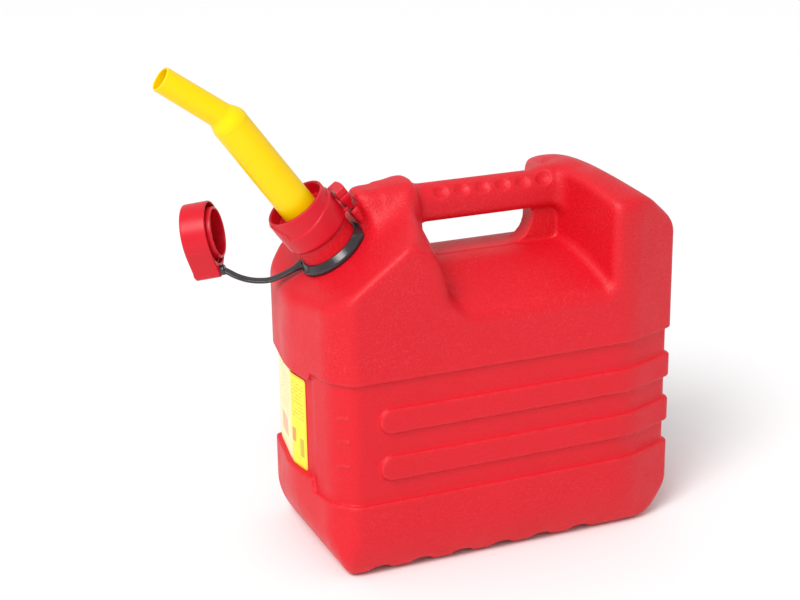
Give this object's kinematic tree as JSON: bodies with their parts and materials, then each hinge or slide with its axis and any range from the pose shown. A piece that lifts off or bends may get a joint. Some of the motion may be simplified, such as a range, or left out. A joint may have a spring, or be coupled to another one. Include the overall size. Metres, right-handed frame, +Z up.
{
  "type": "jerry can",
  "caption": "Ten-litre blow-moulded plastic fuel can with a moulded carrying handle, a tilted screw neck, a bent pouring spout and a cap on a flexible tether.",
  "frame": {"origin": "centre of the can's base, on the surface that it stands on, midway between the end corners", "axes": "+Z up, +X along the can away from the spout, +Y across the can"},
  "size_m": [0.4217, 0.1754, 0.4186],
  "materials": {
    "body_red": "fine moulded stipple, matte",
    "fitting_red": "smooth satin",
    "spout_yellow": "smooth satin",
    "tether_black": "satin",
    "label_paper": "printed film"
  },
  "bodies": {
    "can": {"can_body": "body_red", "label": "label_paper"},
    "seal": {"spout_seal": "tether_black"},
    "collar": {"spout_collar": "fitting_red"},
    "tab": {"lock_tab": "fitting_red"},
    "spout": {"spout": "spout_yellow"},
    "ring": {"tether_ring": "tether_black"},
    "strap": {"tether_strap": "tether_black"},
    "cap": {"screw_cap": "fitting_red", "cap_seal": "tether_black"}
  },
  "joints": [
    {"name": "collar_lift", "type": "slide", "parent": "can", "child": "seal", "axis": [-0.5878, 0, 0.809], "range_m": [0, 0.00601]},
    {"name": "collar_turn", "type": "hinge", "parent": "seal", "child": "collar", "pos_m": [-0.1229, 0, 0.2566], "axis": [-0.5878, 0, 0.809], "range_deg": [0, 540]},
    {"name": "spout_swivel", "type": "hinge", "parent": "seal", "child": "spout", "pos_m": [-0.1229, 0, 0.2566], "axis": [-0.5878, 0, 0.809], "continuous": true},
    {"name": "tab_press", "type": "hinge", "parent": "collar", "child": "tab", "pos_m": [-0.11147, 0, 0.29396], "axis": [0, 1, 0], "range_deg": [-6, 0], "stiffness_Nm_per_rad": 0.3},
    {"name": "ring_swivel", "type": "hinge", "parent": "can", "child": "ring", "pos_m": [-0.1229, 0, 0.2566], "axis": [-0.5878, 0, 0.809], "range_deg": [-80, 80]},
    {"name": "strap_flex", "type": "hinge", "parent": "ring", "child": "strap", "pos_m": [-0.1486, 0.0121, 0.2439], "axis": [0.48, 0.8773, 0], "range_deg": [-4, 36], "stiffness_Nm_per_rad": 0.6},
    {"name": "cap_swivel", "type": "hinge", "parent": "strap", "child": "cap", "pos_m": [-0.2152, 0.049, 0.2366], "axis": [0.8526, -0.4828, 0.1999], "range_deg": [-120, 120]}
  ],
  "couplings": [
    {"joint": "collar_lift", "follows": "collar_turn", "m_per_rad": 0.00063662}
  ]
}
